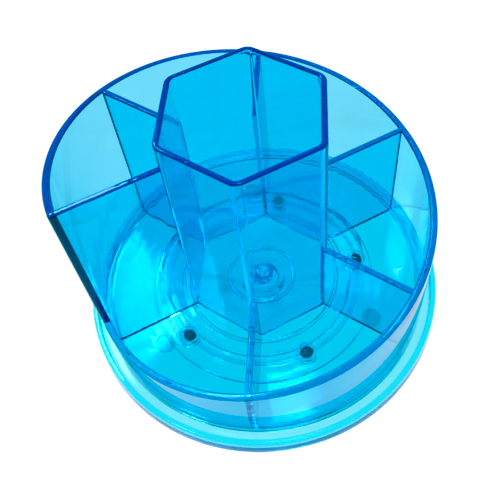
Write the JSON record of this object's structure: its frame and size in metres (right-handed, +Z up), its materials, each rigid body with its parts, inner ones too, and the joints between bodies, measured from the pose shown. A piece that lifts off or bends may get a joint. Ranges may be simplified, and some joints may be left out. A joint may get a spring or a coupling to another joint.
{
  "type": "desk organizer",
  "caption": "Rotating round desk organizer in clear blue plastic: a hexagonal pencil cup and six bins inside a spiral-rimmed tray, on a ball-bearing base.",
  "frame": {"origin": "on the spin axis, at the plane that the organizer stands on", "axes": "+Z up along the spin axis; -X through the drop of the spiral rim, from which the rim falls clockwise seen from above"},
  "size_m": [0.1508, 0.1508, 0.109],
  "materials": {
    "tray_plastic": "transparent blue crystal polystyrene, polished mould finish",
    "base_plastic": "transparent light blue crystal polystyrene, polished mould finish",
    "ball_steel": "ground and polished bearing steel",
    "foot_vinyl": "soft clear vinyl, satin"
  },
  "bodies": {
    "base": {"base": "base_plastic", "pivot_pin": "tray_plastic", "foot_1": "foot_vinyl", "foot_2": "foot_vinyl", "foot_3": "foot_vinyl"},
    "tray": {"tray_floor": "tray_plastic", "outer_wall": "tray_plastic", "pencil_cup": "tray_plastic", "divider_1": "tray_plastic", "divider_2": "tray_plastic", "divider_3": "tray_plastic", "divider_4": "tray_plastic", "divider_5": "tray_plastic", "divider_6": "tray_plastic"},
    "cage": {"ball_cage": "base_plastic"},
    "ball_1": {"ball_1": "ball_steel"},
    "ball_2": {"ball_2": "ball_steel"},
    "ball_3": {"ball_3": "ball_steel"},
    "ball_4": {"ball_4": "ball_steel"},
    "ball_5": {"ball_5": "ball_steel"}
  },
  "joints": [
    {"name": "tray_spin", "type": "hinge", "parent": "base", "child": "tray", "pos_m": [0, 0, 0.0088], "axis": [0, 0, 1], "continuous": true},
    {"name": "cage_spin", "type": "hinge", "parent": "base", "child": "cage", "pos_m": [0, 0, 0.0047], "axis": [0, 0, 1], "continuous": true},
    {"name": "ball_1_roll", "type": "hinge", "parent": "cage", "child": "ball_1", "pos_m": [0.03947, -0.01436, 0.0047], "axis": [0.9397, -0.342, 0], "continuous": true},
    {"name": "ball_2_roll", "type": "hinge", "parent": "cage", "child": "ball_2", "pos_m": [0.02586, 0.0331, 0.0047], "axis": [0.6157, 0.788, 0], "continuous": true},
    {"name": "ball_3_roll", "type": "hinge", "parent": "cage", "child": "ball_3", "pos_m": [-0.02349, 0.03482, 0.0047], "axis": [-0.5592, 0.829, 0], "continuous": true},
    {"name": "ball_4_roll", "type": "hinge", "parent": "cage", "child": "ball_4", "pos_m": [-0.04037, -0.01158, 0.0047], "axis": [-0.9613, -0.2756, 0], "continuous": true},
    {"name": "ball_5_roll", "type": "hinge", "parent": "cage", "child": "ball_5", "pos_m": [-0.00147, -0.04197, 0.0047], "axis": [-0.0349, -0.9994, 0], "continuous": true}
  ],
  "couplings": [
    {"joint": "cage_spin", "follows": "tray_spin", "ratio": 0.5},
    {"joint": "ball_1_roll", "follows": "tray_spin", "ratio": -7},
    {"joint": "ball_2_roll", "follows": "tray_spin", "ratio": -7},
    {"joint": "ball_3_roll", "follows": "tray_spin", "ratio": -7},
    {"joint": "ball_4_roll", "follows": "tray_spin", "ratio": -7},
    {"joint": "ball_5_roll", "follows": "tray_spin", "ratio": -7}
  ]
}
